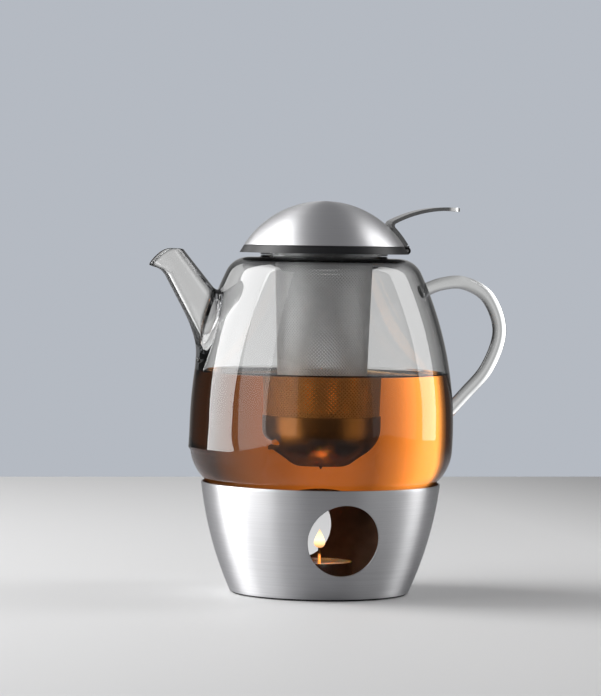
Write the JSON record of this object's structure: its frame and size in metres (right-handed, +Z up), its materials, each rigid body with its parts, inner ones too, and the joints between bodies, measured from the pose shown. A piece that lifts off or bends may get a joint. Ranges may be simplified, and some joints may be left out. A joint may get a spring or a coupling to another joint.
{
  "type": "glass teapot on tealight warmer",
  "caption": "Round glass teapot with glass spout and handle, steel mesh strainer and cup, hinged dome lid with thumb lever, standing on a round steel tealight warmer with two windows.",
  "frame": {"origin": "middle of the warmer's underside, on the pot's axis", "axes": "+Z up; +X towards the handle and -X towards the spout; +Y and -Y face the two round windows"},
  "size_m": [0.2089, 0.1502, 0.2233],
  "materials": {
    "warmer_steel": "brushed round the wall",
    "lid_steel": "fine brushed",
    "plain_steel": "plain satin sheet",
    "mesh_steel": "woven or etched fine mesh",
    "cup_steel": "satin",
    "tealight_aluminium": "thin pressed",
    "black_plastic": "smooth satin",
    "black_rubber": "matt",
    "wax": "soft wax",
    "wick_cotton": "charred",
    "glass": "clear blown glass"
  },
  "bodies": {
    "warmer": {"non_slip_base": "black_rubber", "warmer_shell": "warmer_steel", "warmer_floor": "plain_steel", "tealight_holder": "plain_steel", "holder_rivets": "plain_steel", "support_plate": "plain_steel", "support_rests": "black_rubber"},
    "tealight": {"tealight_cup": "tealight_aluminium", "tealight_wax": "wax", "wick_clip": "plain_steel", "wick": "wick_cotton"},
    "pot": {"glass_body": "glass", "glass_spout": "glass", "glass_handle": "glass"},
    "strainer": {"neck_seal": "black_rubber", "lid_seat_ring": "black_plastic", "hinge_pin": "plain_steel", "strainer_collar": "plain_steel", "strainer_mesh": "mesh_steel", "strainer_cup": "cup_steel", "drip_point": "cup_steel"},
    "lid": {"lid_dome": "lid_steel", "lid_lever": "lid_steel"}
  },
  "joints": [
    {"name": "tealight_lift", "type": "slide", "parent": "warmer", "child": "tealight", "axis": [0, 0, 1], "range_m": [0, 0.024]},
    {"name": "pot_lift", "type": "slide", "parent": "warmer", "child": "pot", "axis": [0, 0, 1], "range_m": [0, 0.06]},
    {"name": "strainer_lift", "type": "slide", "parent": "pot", "child": "strainer", "axis": [0, 0, 1], "range_m": [0, 0.125]},
    {"name": "lid_hinge", "type": "hinge", "parent": "strainer", "child": "lid", "pos_m": [0.046, 0, 0.1957], "axis": [0, 1, 0], "range_deg": [0, 52]}
  ]
}
